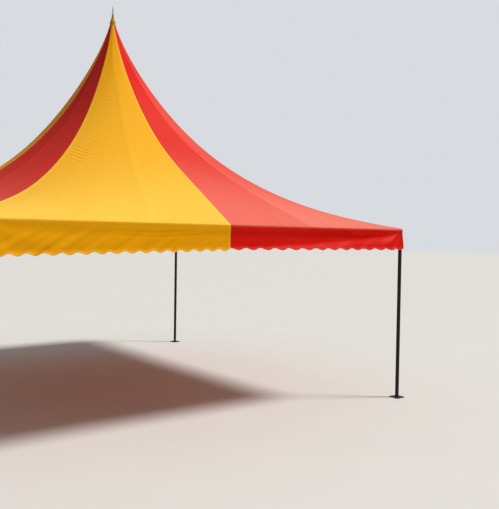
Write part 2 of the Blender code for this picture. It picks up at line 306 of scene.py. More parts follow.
def crease_effect():
    """Fine tension creases where the cloth is slack, and soft crinkles all over."""
    sockets = [("Place", VECTOR), ("Along Creases", FLOAT, 0.0), ("Slack", FLOAT, 0.0)]
    sockets += [("Spacing", FLOAT, CREASE_SPACING)]
    tree, given, out = effect("tension_creases", sockets, ["Height"])
    phase = sums(tree, "MULTIPLY", given["Along Creases"], sums(tree, "DIVIDE", math.tau, given["Spacing"]))
    waves = sums(tree, "MULTIPLY", sums(tree, "SINE", phase), given["Slack"])
    patches = spread(tree, noise(tree, given["Place"], 2.2, 3.0), 0.40, 0.62)
    crinkle = noise(tree, given["Place"], 5.0, 5.0, 0.55, 0.4)
    height = sums(tree, "MULTIPLY_ADD", crinkle, 0.9, sums(tree, "MULTIPLY", waves, patches))
    feed(tree, out, {"Height": height})
    return tree


def wear_effect():
    """Handling wear on tubes: patches that gather where the piece says it is handled."""
    sockets = [("Place", VECTOR), ("Handled", FLOAT, 0.0), ("Grain", FLOAT, 60.0)]
    tree, given, out = effect("handling_wear", sockets, ["Worn", "Dust", "Height"])
    fine = noise(tree, given["Place"], given["Grain"], 6.0, 0.65)
    broad = noise(tree, given["Place"], 7.0, 4.0, 0.6)
    chips = sums(tree, "ADD", sums(tree, "MULTIPLY", fine, 0.6), sums(tree, "MULTIPLY", broad, 0.4))
    edge = sums(tree, "MULTIPLY_ADD", given["Handled"], -0.14, 0.66)
    worn = sums(tree, "MULTIPLY", sums(tree, "SUBTRACT", chips, edge), 30.0, clamp=True)
    height = sums(tree, "SUBTRACT", sums(tree, "MULTIPLY", fine, 0.3), worn)
    feed(tree, out, {"Worn": worn, "Dust": spread(tree, broad, 0.45, 0.75), "Height": height})
    return tree


WEAVE, WEATHER, CREASES, WEAR = weave_effect(), weather_effect(), crease_effect(), wear_effect()


# ---------- finishes
def blank(name):
    """A new material: (material, tree, Principled shader, Object coordinates, UV coordinates)."""
    material = bpy.data.materials.new(name)
    material.use_nodes = True
    tree = material.node_tree
    places = tree.nodes.new("ShaderNodeTexCoord").outputs
    return material, tree, tree.nodes["Principled BSDF"], places["Object"], places["UV"]


def cloth_finish(name, *paints):
    """Coated tent cloth of low gloss, with daylight showing through it."""
    new, pale_sheen_and_fade, soiled, through = (paint(*values) for values in paints)
    material, tree, shader, place, metres = blank(name)
    weather = use(tree, WEATHER, {"Place": place, "Cloth Metres": metres})
    # The marks mix in the pale colour: a painted sky sheen on the canopy, paler towards the eave, painted light and
    # shade on its panels, a painted shadow beside red seams, seam tape and an even fade
    fade_tape_and_painted_light = sums(tree, "ADD", attribute(tree, "fade_and_sheen"), attribute(tree, "tape_and_painted_light"))
    body = mixed(tree, sums(tree, "MULTIPLY_ADD", weather["Fade"], 0.02, fade_tape_and_painted_light), new, pale_sheen_and_fade)
    body = mixed(tree, sums(tree, "MULTIPLY", weather["Streaks"], 0.10), body, soiled)
    body = mixed(tree, sums(tree, "MULTIPLY", weather["Dust"], attribute(tree, "soil")), body, paint(120, 92, 62))
    slack = {"Along Creases": attribute(tree, "crease"), "Slack": attribute(tree, "slack")}
    normal = bump(tree, use(tree, CREASES, {"Place": place, **slack})["Height"], 0.55, 0.004)
    normal = bump(tree, use(tree, WEAVE, {"Cloth Metres": metres})["Height"], 0.25, 0.0006, Normal=normal)
    rough = spread(tree, weather["Dust"], 0.0, 1.0, 0.48, 0.66)
    feed(tree, shader, {"Base Color": body, "Roughness": rough, "Normal": normal, "Specular IOR Level": 0.05})
    glow = mixed(tree, sums(tree, "MULTIPLY", weather["Fade"], 0.25), through, pale_sheen_and_fade)
    behind = made(tree, "ShaderNodeBsdfTranslucent", {"Color": glow, "Normal": normal})
    both = made(tree, "ShaderNodeMixShader", {0: LIGHT_THROUGH, 1: shader.outputs[0], 2: behind})
    feed(tree, tree.nodes["Material Output"], {"Surface": both})
    return material


def metal_finish(name, new, worn, dust, roughness, metallic, worn_metallic, grain=60.0, speckle=0.0):
    """Painted or plated steel with handling wear, dust and a fine surface grain."""
    material, tree, shader, place, _ = blank(name)
    new, worn, dust = paint(*new), paint(*worn), paint(*dust)
    wear = use(tree, WEAR, {"Place": place, "Handled": attribute(tree, "handled"), "Grain": grain})
    body = mixed(tree, sums(tree, "MULTIPLY", wear["Dust"], 0.35), new, dust)
    if speckle:
        cells = node(tree, "ShaderNodeTexVoronoi", {"Vector": place, "Scale": 140.0}).outputs["Color"]
        flakes = made(tree, "ShaderNodeSeparateColor", {0: cells})
        body = mixed(tree, sums(tree, "MULTIPLY", flakes, speckle), body, dust)
    feed(tree, shader, {
        "Base Color": mixed(tree, wear["Worn"], body, worn),
        "Roughness": spread(tree, noise(tree, place, 24.0), 0.3, 0.7, roughness - 0.08, roughness + 0.12),
        "Metallic": spread(tree, wear["Worn"], 0.0, 1.0, metallic, worn_metallic),
        "Normal": bump(tree, wear["Height"], 0.30, 0.0004),
    })
    return material


def thread_finish(name, light, dark):
    """Polyester sewing thread, twisted."""
    material, tree, shader, place, _ = blank(name)
    fuzz = noise(tree, place, 350.0, 2.0)
    body = mixed(tree, fuzz, paint(*light), paint(*dark))
    feed(tree, shader, {"Base Color": body, "Normal": bump(tree, fuzz, 0.5, 0.0003), "Roughness": 0.7})
    return material


FINISHES = {
    # Cloth: new, faded and painted sheen, soiled, with daylight behind it
    "yellow": cloth_finish("yellow_tent_cloth", (248, 182, 2), (255, 234, 106), (226, 150, 8), (255, 172, 4)),
    "red": cloth_finish("red_tent_cloth", (228, 19, 8), (255, 166, 148), (178, 16, 12), (240, 20, 8)),
    "cap": cloth_finish("weathered_cap_cloth", (206, 160, 60), (226, 194, 116), (150, 112, 48), (190, 136, 40)),
    # Metal: new, worn, dusty; roughness, metallic, metallic where worn
    "paint": metal_finish("black_tube_paint", (20, 20, 22), (112, 84, 66), (58, 52, 46), 0.40, 0.0, 0.6),
    "zinc": metal_finish(
        "galvanised_steel", (150, 153, 156), (120, 116, 110), (178, 180, 182), 0.42, 0.9, 0.7, speckle=0.5
    ),
    "weathered": metal_finish(
        "weathered_steel", (64, 68, 68), (92, 84, 74), (88, 90, 90), 0.5, 0.7, 0.6, speckle=0.3
    ),
    "wire": metal_finish(
        "galvanised_wire", (140, 142, 144), (92, 84, 74), (112, 110, 104), 0.38, 0.95, 0.6, grain=220.0
    ),
    "thread": thread_finish("sewing_thread", (244, 208, 120), (206, 160, 74)),
}


# ---------- mesh helpers
def show(name, mesh, finishes, nodes=()):
    """An object for a mesh, with its finishes, riding on the tent in place of the solids it stands for."""
    obj = bpy.data.objects.new(name, mesh)
    scene.collection.objects.link(obj)
    for finish in finishes:
        mesh.materials.append(FINISHES[finish])
    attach(obj, "root")
    if nodes:
        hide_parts(*nodes)
    return obj


def evaluated_mesh(obj):
    return bpy.data.meshes.new_from_object(obj.evaluated_get(bpy.context.evaluated_depsgraph_get()))


def float_attribute(mesh, name, values, domain="POINT"):
    layer = mesh.attributes.new(name, "FLOAT", domain)
    layer.data.foreach_set("value", np.asarray(values, np.float32).ravel())


def grid_mesh(name, points):
    """A mesh of quads over points[row, column], closed round its columns."""
    rows, columns = points.shape[:2]
    left = np.arange(rows * columns).reshape(rows, columns)
    right = np.roll(left, -1, axis=1)
    faces = np.stack([left[:-1], left[1:], right[1:], right[:-1]], axis=-1).reshape(-1, 4)
    mesh = bpy.data.meshes.new(name)
    mesh.from_pydata(points.reshape(-1, 3).tolist(), [], faces.tolist())
    mesh.shade_smooth()
    return mesh


def grid_normals(points):
    """Outward normals of points[row, column], for a grid whose rows run down and columns run right."""
    across = (np.roll(points, -1, axis=1) - np.roll(points, 1, axis=1)) / 2
    normals = np.cross(np.gradient(points, axis=0), across)
    return normals / np.linalg.norm(normals, axis=-1, keepdims=True)


def face_places(rows, columns):
    """The row and column of each face of a grid."""
    return np.divmod(np.arange((rows - 1) * columns), columns)


def sewn(name, points, metres, right_metres, marks, finishes, slot, nodes, thickness, digits, red=None, **sheet):
    """A closed sheet of cloth with its thickness.

    metres: cloth coordinates of each point, and right_metres: those of the point to its right, in its own gore.
    marks: what the finish reads, on faces for seam tape with painted panel light and seam shadow, and on points for
    the rest, painted sheen among them.
    """
    mesh = grid_mesh(name, points)
    if red is not None:
        mesh.polygons.foreach_set("material_index", red.astype(np.int32))
    float_attribute(mesh, "tape_and_painted_light", marks.pop("tape_and_painted_light"), "FACE")
    for mark, values in marks.items():
        float_attribute(mesh, mark, np.broadcast_to(values, points.shape[:2]))
    uv = np.stack([metres[:-1], metres[1:], right_metres[1:], right_metres[:-1]], axis=2)
    mesh.uv_layers.new(name="cloth_metres").data.foreach_set("uv", uv.ravel())
    obj = show(name, mesh, finishes, nodes)
    shell = obj.modifiers.new("thickness", "SOLIDIFY")
    shell.thickness, shell.offset, shell.use_rim, shell.use_even_offset = thickness, -1, True, False


def placed(across, out, z, quarter):
    """Points of one side, from their places along it, outward and up, turned to their quarter."""
    x, y, z = np.broadcast_arrays(across, -out, z)
    cos, sin = np.cos(quarter * math.pi / 2), np.sin(quarter * math.pi / 2)
    return np.stack([x * cos - y * sin, x * sin + y * cos, z], axis=-1)


def eased(value, low, high):
    """0 below low, 1 above high, smooth between."""
    t = np.clip((value - low) / (high - low), 0, 1)
    return t * t * (3 - 2 * t)


def hump(value, low, high, soft):
    """1 between low and high and 0 outside, with soft slopes."""
    return eased(value, low - soft, low + soft) * (1 - eased(value, high - soft, high + soft))


def bent(value, soft):
    """0 for values below 0 and the value itself above, with a soft bend between."""
    return (value + np.hypot(value, soft)) / 2


# ---------- canopy
def pinched(r, pinch):
    """1 at the neck and 0 at the hip's foot, the hollower the greater the pinch."""
    low = math.exp(-pinch)
    return (np.exp(-pinch * r / HIP_R) - low) / (math.exp(-pinch * NECK_R / HIP_R) - low)


def sweep(r):
    """The hip's height above the eave, as in the solids."""
    return RISE * ((1 - TIP_SHARE) * pinched(r, ROOF_PINCH) + TIP_SHARE * pinched(r, TIP_PINCH))


def roof_z(full, angle, along):
    """The roof's height, full and round or square and slack, as in the solids."""
    reach = AXIS / np.cos(angle)
    r = NECK_R + along * (reach - NECK_R)
    round_z = sweep(r) - sweep(reach) * along**EAVE_FLARE
    square_z = sweep(NECK_R + along * (HIP_R - NECK_R))
    return EAVE_Z + full * round_z + (1 - full) * square_z


def rounded_corner(across, out, radius):
    """Plan positions on a square, with its corners rounded."""
    start = out - radius
    turn = np.clip((np.abs(across) - start) / radius, 0, 1) * math.pi / 4
    beyond = np.abs(across) > start
    new_across = np.where(beyond, np.sign(across) * (start + radius * np.sin(turn)), across)
    new_out = np.where(beyond, start + radius * np.cos(turn), out)
    return new_across, new_out


def canopy_angles(along):
    """Angles of all columns of one side at each row, from its left hip to just before its right hip."""
    found = []
    for panel in range(PANELS):
        first = -math.pi / 4 + panel * PANEL_ANGLE
        edges = []
        for seam in (first, first + PANEL_ANGLE):
            reach = NECK_R + along * (AXIS / math.cos(seam) - NECK_R)
            edges.append([np.minimum(d / reach, most * PANEL_ANGLE) for d, most in zip(SEAM_STEPS, SEAM_SHARES)])
        lefts = [first + offset for offset in edges[0]]
        rights = [first + PANEL_ANGLE - offset for offset in edges[1][:0:-1]]
        part = np.arange(1, PANEL_COLUMNS + 1) / (PANEL_COLUMNS + 1)
        if panel == 0:
            part = part**HIP_CLOSENESS
        elif panel == PANELS - 1:
            part = 1 - (1 - part) ** HIP_CLOSENESS
        found += lefts + [lefts[-1] + (rights[0] - lefts[-1]) * k for k in part] + rights
    return np.stack(found, axis=-1)


def creased(share):
    """How strongly the cloth is creased at a share of the slope."""
    return sum(depth * hump(share, low, high, soft) for low, high, soft, depth in CREASE_BANDS)


def roof_rows():
    """Shares of the slope, closer together near the peak and where creases run."""
    share = np.linspace(0, 1, 2001)
    closeness = 1 + 2.0 * np.exp(-share / 0.10) + 1.1 * creased(share)
    travel = np.cumsum(closeness)
    return np.interp(np.linspace(travel[0], travel[-1], ROOF_ROWS + 1), travel, share)


def roof_form(along, angles):
    """The bare roof, row by row from the neck to the eave, then over the bars and down to its hem."""
    points = np.zeros((ROOF_ROWS + WRAP_ROWS + 3, 4 * PER_SIDE, 3))
    slope = along[:, None]
    for quarter, side in enumerate(SIDES):
        rows = points[:, quarter * PER_SIDE : (quarter + 1) * PER_SIDE]
        r = NECK_R + NECK_CLEAR * (1 - slope) ** 8 + slope * (AXIS / np.cos(angles) - NECK_R)
        z = roof_z(FULLNESS[side], np.abs(angles), slope)
        radius = HIP_ROUND + (EAVE_ROUND - HIP_ROUND) * eased(slope, 0.93, 1.0)
        across, out = rounded_corner(r * np.sin(angles), r * np.cos(angles), radius)
        rows[: ROOF_ROWS + 1] = placed(across, out, z, quarter)
        for row in range(1, WRAP_ROWS + 3):
            turn = math.pi / 2 * (1 - min(row, WRAP_ROWS) / WRAP_ROWS)
            lap = LAP_OUT * eased(row, WRAP_ROWS - 4, WRAP_ROWS)
            out = AXIS + WRAP_OUT * math.cos(turn) + lap
            below = (0, HEM_LAP - HEM_EDGE, HEM_LAP)[max(0, row - WRAP_ROWS)]
            z = BAR_Z + WRAP_OUT * math.sin(turn) - below
            radius = EAVE_ROUND + (WRAP_OUT + lap - EAVE_ROUND) * row / (WRAP_ROWS + 2)
            across, out = rounded_corner(np.tan(angles[-1]) * out, out, radius)
            rows[ROOF_ROWS + row] = placed(across, out, z, quarter)
    return points


def over_eave(angles):
    """The angles of one side's rows, carried on down the rows over the bar, for all four sides."""
    return np.tile(np.vstack([angles, np.repeat(angles[-1:], WRAP_ROWS + 2, axis=0)]), 4)


def canopy():
    """The whole roof as one sheet: eight gores of two panels each, turned down over the eave bars."""
    along = roof_rows()
    even = canopy_angles(along)
    # The yellow gores' inner seam lies nearer to the middle of its side than to the hip
    angles = even + SEAM_SHIFT * eased(along[:, None], 0.04, 0.22) * np.sin(4 * even) ** 2 * (even < 0)
    points = roof_form(along, angles)
    theta, even = over_eave(angles), over_eave(even)
    columns = 4 * PER_SIDE
    steps = np.linalg.norm(np.diff(points, axis=0), axis=-1)
    reach_down = np.vstack([np.zeros(columns), np.cumsum(steps, axis=0)])

    plan = np.hypot(points[..., 0], points[..., 1])
    share = np.concatenate([along, np.ones(WRAP_ROWS + 2)])[:, None] * np.ones(columns)
    quarter = np.repeat(np.arange(4), PER_SIDE)
    in_panel = ((even + math.pi / 4) / PANEL_ANGLE) % 1.0
    to_hip = plan * np.sin(math.pi / 4 - np.abs(theta))
    from_eave = reach_down[ROOF_ROWS] - reach_down
    seam_gap = plan * PANEL_ANGLE * np.minimum(in_panel, 1 - in_panel)
    still = eased(share, 0.0, 0.05) * (1 - eased(share, 0.955, 0.99))

    # Cloth between seams pulls in, and each seam's doubled cloth stands proud
    lift = -PULL_IN * np.sin(math.pi * in_panel) ** 2 * still * eased(share, 0.03, 0.3)
    doubled = 1 - eased(seam_gap, 0.022, 0.028)
    lift += SEAM_PROUD * doubled * eased(share, 0.02, 0.08) * (1 - eased(share, 0.985, 1.0))
    # Gathers under the crown
    gathers = np.sin(theta * 24 + 0.8 * np.sin(theta * 8 + quarter)) * (1 - eased(share, 0.04, 0.30))
    lift += GATHER * gathers * eased(share, 0.0, 0.03) * np.minimum(1, plan / 0.25)
    # Slow waves of the whole roof
    wobble = np.zeros_like(lift)
    for _ in range(7):
        bearing, pitch = CHANCE.uniform(0, math.tau), CHANCE.uniform(2.2, 6.5)
        ahead = points[..., 0] * math.cos(bearing) + points[..., 1] * math.sin(bearing)
        wobble += np.sin(pitch * ahead + CHANCE.uniform(0, math.tau))
    lift += SLOW_WAVE * wobble * still
    # Folds that fan up from each corner, and short creases off the hips
    fan = np.arctan2(to_hip, np.maximum(from_eave, 1e-4))
    near_corner = hump(np.hypot(to_hip, from_eave), 0.30, 1.25, 0.28)
    hand = np.sign(theta)
    lift += CORNER_FOLD * np.sin(fan * 15 + hand + quarter) * near_corner * still * eased(to_hip, 0.0, 0.12)
    crease = reach_down - to_hip * (0.60 - 0.28 * share) + 0.02 * np.sin(5 * reach_down + hand + quarter)
    crease += 0.012 * np.sin(9 * to_hip + 3 * reach_down)
    slack = creased(share) * eased(to_hip, 0.03, 0.14) * (1 - eased(to_hip, 0.20, 0.62)) * still
    slack *= 1 - eased(to_hip / plan, 0.30, 0.40)
    slack *= np.array(SIDE_SLACK)[quarter] * np.where(theta < 0, 1.0, 0.7)
    lift += CREASE_DEPTH * np.sin(crease * math.tau / CREASE_SPACING) * slack
    points += grid_normals(points) * lift[..., None]

    # Panels get painted light and shade, seams get lighter tape or a painted shadow, and none of that nor the
    # painted sheen goes where the cloth turns down over the bar
    row, column = face_places(len(points), columns)
    panel, in_column = np.divmod(column, PER_PANEL)
    red = panel % PANELS >= PANELS // 2
    taped = (in_column < 2) | (in_column >= PER_PANEL - 2)
    colour_seam = np.where(in_column < PER_PANEL // 2, panel, panel + 1) % 2 == 0
    # Painted light and shade on each panel, weaker on the left side, with a little random tone
    tape_and_painted_light = np.array(PANEL_PAINTED_LIGHT)[panel % PANELS] * np.where(panel >= 3 * PANELS, 0.4, 1)
    tape_and_painted_light += 0.01 * np.sin(panel * 2.4)
    # Yellow seams get lighter tape; beside a red seam the cloth is painted darker, a painted shadow of the lapped
    # yellow cloth
    seam_tape_and_shadow = np.where(red, RED_SEAM_PAINTED_SHADOW, YELLOW_SEAM_FADED)
    tape_and_painted_light += np.where(taped, np.where(colour_seam, seam_tape_and_shadow, PANEL_SEAM_FADED), 0)
    on_top = 1 - eased(np.concatenate([np.zeros(ROOF_ROWS + 1), np.linspace(0.1, 1, WRAP_ROWS + 2)]), 0.42, 1.0)
    # Painted sky sheen: the cloth is painted paler down the slope towards the eave. Painted shade: the left side
    # gets less of that sheen. It also gets more dust colour, which darkens it
    left = quarter == 3
    left_painted_shade, dust = np.where(left, 0.12, 0.0), np.where(left, 0.14, 0.02)
    fade_and_sheen = (0.15 - left_painted_shade) * eased(share, 0.02, 0.35) + (0.41 - 1.2 * left_painted_shade) * eased(share, 0.40, 1.0)
    marks = {
        "tape_and_painted_light": tape_and_painted_light * on_top[row + 1],
        "fade_and_sheen": fade_and_sheen * on_top[:, None],
        "slack": slack,
        "crease": crease,
        "soil": dust + 0.08 * eased(share, 0.93, 1.0),
    }
    # Cloth coordinates in metres: across from the gore's left seam, and down from the peak
    gore_first = np.where(theta < -1e-6, -math.pi / 4, 0.0)
    next_theta = np.roll(theta, -1, axis=1)
    next_theta[:, PER_SIDE - 1 :: PER_SIDE] = math.pi / 4
    right_across = np.roll(plan, -1, axis=1) * (next_theta - gore_first)
    sewn(
        "canopy",
        points,
        np.stack([plan * (theta - gore_first), reach_down], axis=-1),
        np.stack([right_across, np.roll(reach_down, -1, axis=1)], axis=-1),
        marks,
        COLOURS,
        "yellow_cloth",
        [f"roof_{s}_{c}" for s in SIDES for c in COLOURS],
        CLOTH_T,
        2,
        red,
        flat=(4 * SIDE, 4.98),
        held="stretched",
        rests_on=["crown_ring"] + [f"eave_bar_{s}" for s in SIDES],
    )
    return points


# ---------- valance
def valance():
    """One scalloped strip round the whole eave, sewn behind the canopy's edge."""
    length = AXIS + WRAP_OUT * math.pi / 4  # of half a side, to the middle of its rounded corner
    share = np.arange(SCALLOP_COLUMNS) / SCALLOP_COLUMNS
    down = np.array(VALANCE_DOWN)[:, None]
    columns = SCALLOP_COLUMNS * 8
    points = np.zeros((VALANCE_ROWS, columns, 3))
    metres = np.zeros((VALANCE_ROWS, columns, 2))
    for half in range(8):
        quarter, red = (half + 1) // 2 % 4, half % 2 == 0
        corner_yellow = YELLOW_CORNER_DROP[SIDES[(quarter + 1) % 4 if red else quarter]]
        if red:
            t, hand, count, seam_drop, corner_drop = share, 1, RED_SCALLOPS, RED_DROP, RED_DROP
        else:
            t, hand, count, seam_drop, corner_drop = 1 - share, -1, YELLOW_SCALLOPS, YELLOW_DROP, corner_yellow
        hang = seam_drop + t * (corner_drop - seam_drop)
        # Neighbouring halves meet at one drop, at the corner and in the middle of the side
        for yellow_drop, apart in ((corner_yellow, eased(1 - t, 0.0, 0.030)), (YELLOW_DROP, eased(t, 0.0, 0.015))):
            middle = (RED_DROP + yellow_drop) / 2
            hang = middle + (hang - middle) * apart
        scallop = np.cos(math.tau * count * t)
        bottom = BAR_Z - hang + SCALLOP_DEPTH / 2 * scallop
        path = t * length
        corner = length - path
        turn = np.clip((path - AXIS) / WRAP_OUT, 0, math.pi / 4)
        depth = TOUCH + down * (BAR_Z - TOUCH - bottom)
        depth[1:4] = HEM_LAP + np.array(HEM_ROWS)[:, None]
        free = eased(depth, 0.02, 0.26)
        # A slight outward lean, and slow diagonal waves
        swing = LEAN_OUT * free
        wave_height, width, lean = (0.0016, 1, 1) if red else (0.0022, 0.55, -1)
        patch = 1.0 if red else 0.5 + eased(path, 0.6, 1.6)
        for _ in range(4):
            wide, slope = CHANCE.uniform(0.30, 0.75) * width, CHANCE.uniform(1.3, 2.2) * lean
            wave = math.tau * (path + slope * depth) / wide + CHANCE.uniform(0, math.tau)
            swing = swing + wave_height * (1 + np.sin(wave + 0.6 * np.sin(wave))) * free * patch
        # A long fold runs out from the corner: the cloth falls inward above it and stands out below it
        line = FOLD_DROP * corner**0.6
        tuck = (TUCK - 0.11 * eased(corner, 0.6, 2.0)) if red else 0.12
        start = 0.024 + 0.028 * eased(corner, 0.5, 1.6)
        inward = bent(depth - start, 0.010) - bent(depth - np.clip(line, 0.04, 0.115), 0.012)
        outward = FOLD_KICK * bent(depth - line, 0.012) - FOLD_RETURN * bent(depth - line - 0.08, 0.02)
        swing = swing + ((outward if red else 0) - tuck * inward) * eased(corner, 0.05, 0.35)
        swing[2:] += STEP_OUT
        # Small folds fan from the corner
        fan = 0.5 + 0.5 * np.sin(np.arctan2(depth - 0.01, np.maximum(corner, 0.02)) * 17 + 0.6 * half)
        near_corner = hump(np.hypot(corner, depth), 0.12, 1.05, 0.14) * eased(depth, 0.012, 0.09)
        swing = swing + (1.0 if red else 0.4) * FAN_FOLD * fan * near_corner
        # Level ripples lie half way along a red half, and nearer to the side's middle on a yellow one
        ripple = np.sin(math.tau * depth / RIPPLE_SPACING + 2.2 * np.sin(path * 4.0 + half))
        patch = hump(path, 1.35, 1.95, 0.25) if red else hump(path, 0.45, 1.35, 0.3)
        swing = swing + RIPPLE * (1 + ripple) * patch * hump(depth, 0.06, 0.20, 0.03)
        # Scallops curl out, and so does the doubled hem
        swing = swing + SCALLOP_CURL * (1 - scallop) * eased(down, 0.80, 1.0)
        swing = swing + HEM_PROUD * eased(down, 0.925, 0.95) + HEM_KICK * eased(down, 0.92, 1.0)
        across = np.minimum(path, AXIS) + np.sin(turn) * (WRAP_OUT + swing)
        out = AXIS + np.cos(turn) * (WRAP_OUT + swing)
        block = slice(half * SCALLOP_COLUMNS, (half + 1) * SCALLOP_COLUMNS)
        points[:, block] = placed(hand * across, out, BAR_Z - depth, quarter)
        metres[:, block, 0], metres[:, block, 1] = hand * path, depth
    row, column = face_places(VALANCE_ROWS, columns)
    half, in_half = np.divmod(column, SCALLOP_COLUMNS)
    yellow = half % 2 == 1
    hem = row >= VALANCE_ROWS - 3
    seam = np.isin(in_half, (0, SCALLOP_COLUMNS - 1))
    right_metres = np.roll(metres, -1, axis=1)
    last = slice(SCALLOP_COLUMNS - 1, None, SCALLOP_COLUMNS)
    right_metres[:, last, 0] = metres[:, last, 0] + length / SCALLOP_COLUMNS
    sewn(
        "valance",
        points,
        metres,
        right_metres,
        {"tape_and_painted_light": hem * np.where(yellow, 0.14, 0.02) + 0.12 * (seam & yellow), "soil": 0.02 + 0.03 * down},
        COLOURS,
        "red_cloth",
        [f"valance_{s}_{c}" for s in SIDES for c in COLOURS],
        CLOTH_T,
        3,
        ~yellow,
        flat=(round(8 * length, 3), 0.345),
        held="hung",
        rests_on=["canopy"],
    )
    return points


# ---------- what repeats: geometry node trees
def pattern(name, inputs):
    """An empty geometry tree with a geometry in and out and named inputs: (tree, inputs, output node)."""
    return group("GeometryNodeTree", name, [("Geometry", GEOMETRY), *inputs], [("Geometry", GEOMETRY)])


def finished(tree, geometry, material, out, smooth=True):
    """The end of every tree: real meshes with their finish."""
    real = made(tree, "GeometryNodeRealizeInstances", {0: geometry})
    if smooth:
        real = made(tree, "GeometryNodeSetShadeSmooth", {0: real})
    feed(tree, out, {0: made(tree, "GeometryNodeSetMaterial", {"Geometry": real, "Material": material})})
    return tree


def together(tree, *pieces):
    whole = tree.nodes.new("GeometryNodeJoinGeometry")
    for piece in pieces:
        feed(tree, whole, {0: piece})
    return whole.outputs[0]


def upright(tree):
    """Each piece's Z to the line's stored outward direction."""
    outward = made(tree, "GeometryNodeInputNamedAttribute", {"Name": "outward"}, data_type="FLOAT_VECTOR")
    return made(tree, "FunctionNodeAlignRotationToVector", {"Vector": outward}, axis="Z")


def run_tree():
    """Small rounded pieces in a row along lines, such as stitches or the ripples of a weld."""
    sockets = [("Pitch", FLOAT, 0.01), ("Size", VECTOR, (0.007, 0.0012, 0.0012)), ("Segments", WHOLE, 4)]
    sockets += [("Rings", WHOLE, 2), ("Variation", FLOAT, 0.1), ("Seed", WHOLE, 3), ("Finish", MATERIAL)]
    tree, given, out = pattern("run_of_pieces", sockets)
    line = made(tree, "GeometryNodeMeshToCurve", {0: given["Geometry"]})
    line = made(tree, "GeometryNodeResampleCurve", {"Curve": line, "Length": given["Pitch"]}, mode="LENGTH")
    inputs = {"Segments": given["Segments"], "Rings": given["Rings"], "Radius": 0.5}
    grain = made(tree, "GeometryNodeMeshUVSphere", inputs)
    inputs = {"Rotation": upright(tree), "Vector": made(tree, "GeometryNodeInputTangent")}
    turn = made(tree, "FunctionNodeAlignRotationToVector", inputs, axis="X", pivot_axis="Z")
    low, high = (sums(tree, way, 1.0, given["Variation"]) for way in ("SUBTRACT", "ADD"))
    inputs = {2: low, 3: high, "Seed": given["Seed"]}
    change = node(tree, "FunctionNodeRandomValue", inputs, data_type="FLOAT").outputs[1]
    size = made(tree, "ShaderNodeVectorMath", {0: given["Size"], "Scale": change}, operation="SCALE")
    inputs = {"Points": line, "Instance": grain, "Rotation": turn, "Scale": size}
    return finished(tree, made(tree, "GeometryNodeInstanceOnPoints", inputs), given["Finish"], out)


def bolt_tree():
    """Hexagon bolt heads on washers, one at each point."""
    sockets = [("Across Corners", FLOAT, 0.0150), ("Head Height", FLOAT, 0.0055)]
    sockets += [("Washer Diameter", FLOAT, 0.0190), ("Washer Thickness", FLOAT, 0.0016), ("Finish", MATERIAL)]
    tree, given, out = pattern("hexagon_bolts", sockets)
    corners, height, washer = given["Across Corners"], given["Head Height"], given["Washer Thickness"]

    def disc(sides, diameter, thickness, low):
        inputs = {"Vertices": sides, "Radius": sums(tree, "DIVIDE", diameter, 2.0), "Depth": thickness}
        drum = made(tree, "GeometryNodeMeshCylinder", inputs)
        lift = made(tree, "ShaderNodeCombineXYZ", {"Z": sums(tree, "MULTIPLY_ADD", thickness, 0.5, low)})
        return made(tree, "GeometryNodeTransform", {"Geometry": drum, "Translation": lift})

    bolt_shape = together(
        tree,
        disc(20, given["Washer Diameter"], washer, -0.0006),
        disc(6, corners, height, washer),
        disc(20, sums(tree, "MULTIPLY", corners, 0.86), sums(tree, "MULTIPLY", height, 1.12), washer),
    )
    inputs = {"Points": given["Geometry"], "Instance": bolt_shape, "Rotation": upright(tree)}
    return finished(tree, made(tree, "GeometryNodeInstanceOnPoints", inputs), given["Finish"], out, False)


def rope_tree():
    """Wire rope from the origin up Z: strands laid round a straight core."""
    sockets = [("Length", FLOAT, 1.0), ("Rope Diameter", FLOAT, 0.008), ("Strands", WHOLE, 6)]
    sockets += [("Turns", FLOAT, 60.0), ("Points In A Turn", WHOLE, 9), ("Finish", MATERIAL)]
    tree, given, out = pattern("laid_wire_rope", sockets)
    strand = sums(tree, "DIVIDE", given["Rope Diameter"], 5.6)
    orbit = sums(tree, "SUBTRACT", sums(tree, "DIVIDE", given["Rope Diameter"], 2.0), strand)
    inputs = {"Resolution": given["Points In A Turn"], "Rotations": given["Turns"], "Height": given["Length"]}
    coil = made(tree, "GeometryNodeCurveSpiral", {**inputs, "Start Radius": orbit, "End Radius": orbit})
    inputs = {"Geometry": coil, "Amount": given["Strands"]}
    copies = node(tree, "GeometryNodeDuplicateElements", inputs, domain="SPLINE").outputs
    angle = sums(tree, "MULTIPLY", copies[1], sums(tree, "DIVIDE", math.tau, given["Strands"]))
    inputs = {"Vector": made(tree, "GeometryNodeInputPosition"), "Angle": angle}
    moved = made(tree, "ShaderNodeVectorRotate", inputs, rotation_type="Z_AXIS")
    laid_strands = made(tree, "GeometryNodeSetPosition", {"Geometry": copies[0], "Position": moved})
    far = made(tree, "ShaderNodeCombineXYZ", {"Z": given["Length"]})
    core = made(tree, "GeometryNodeCurvePrimitiveLine", {"Start": (0, 0, 0), "End": far})
    ring = made(tree, "GeometryNodeCurvePrimitiveCircle", {"Resolution": 5, "Radius": strand})
    inputs = {"Curve": together(tree, laid_strands, core), "Profile Curve": ring, "Fill Caps": True}
    return finished(tree, made(tree, "GeometryNodeCurveToMesh", inputs), given["Finish"], out)


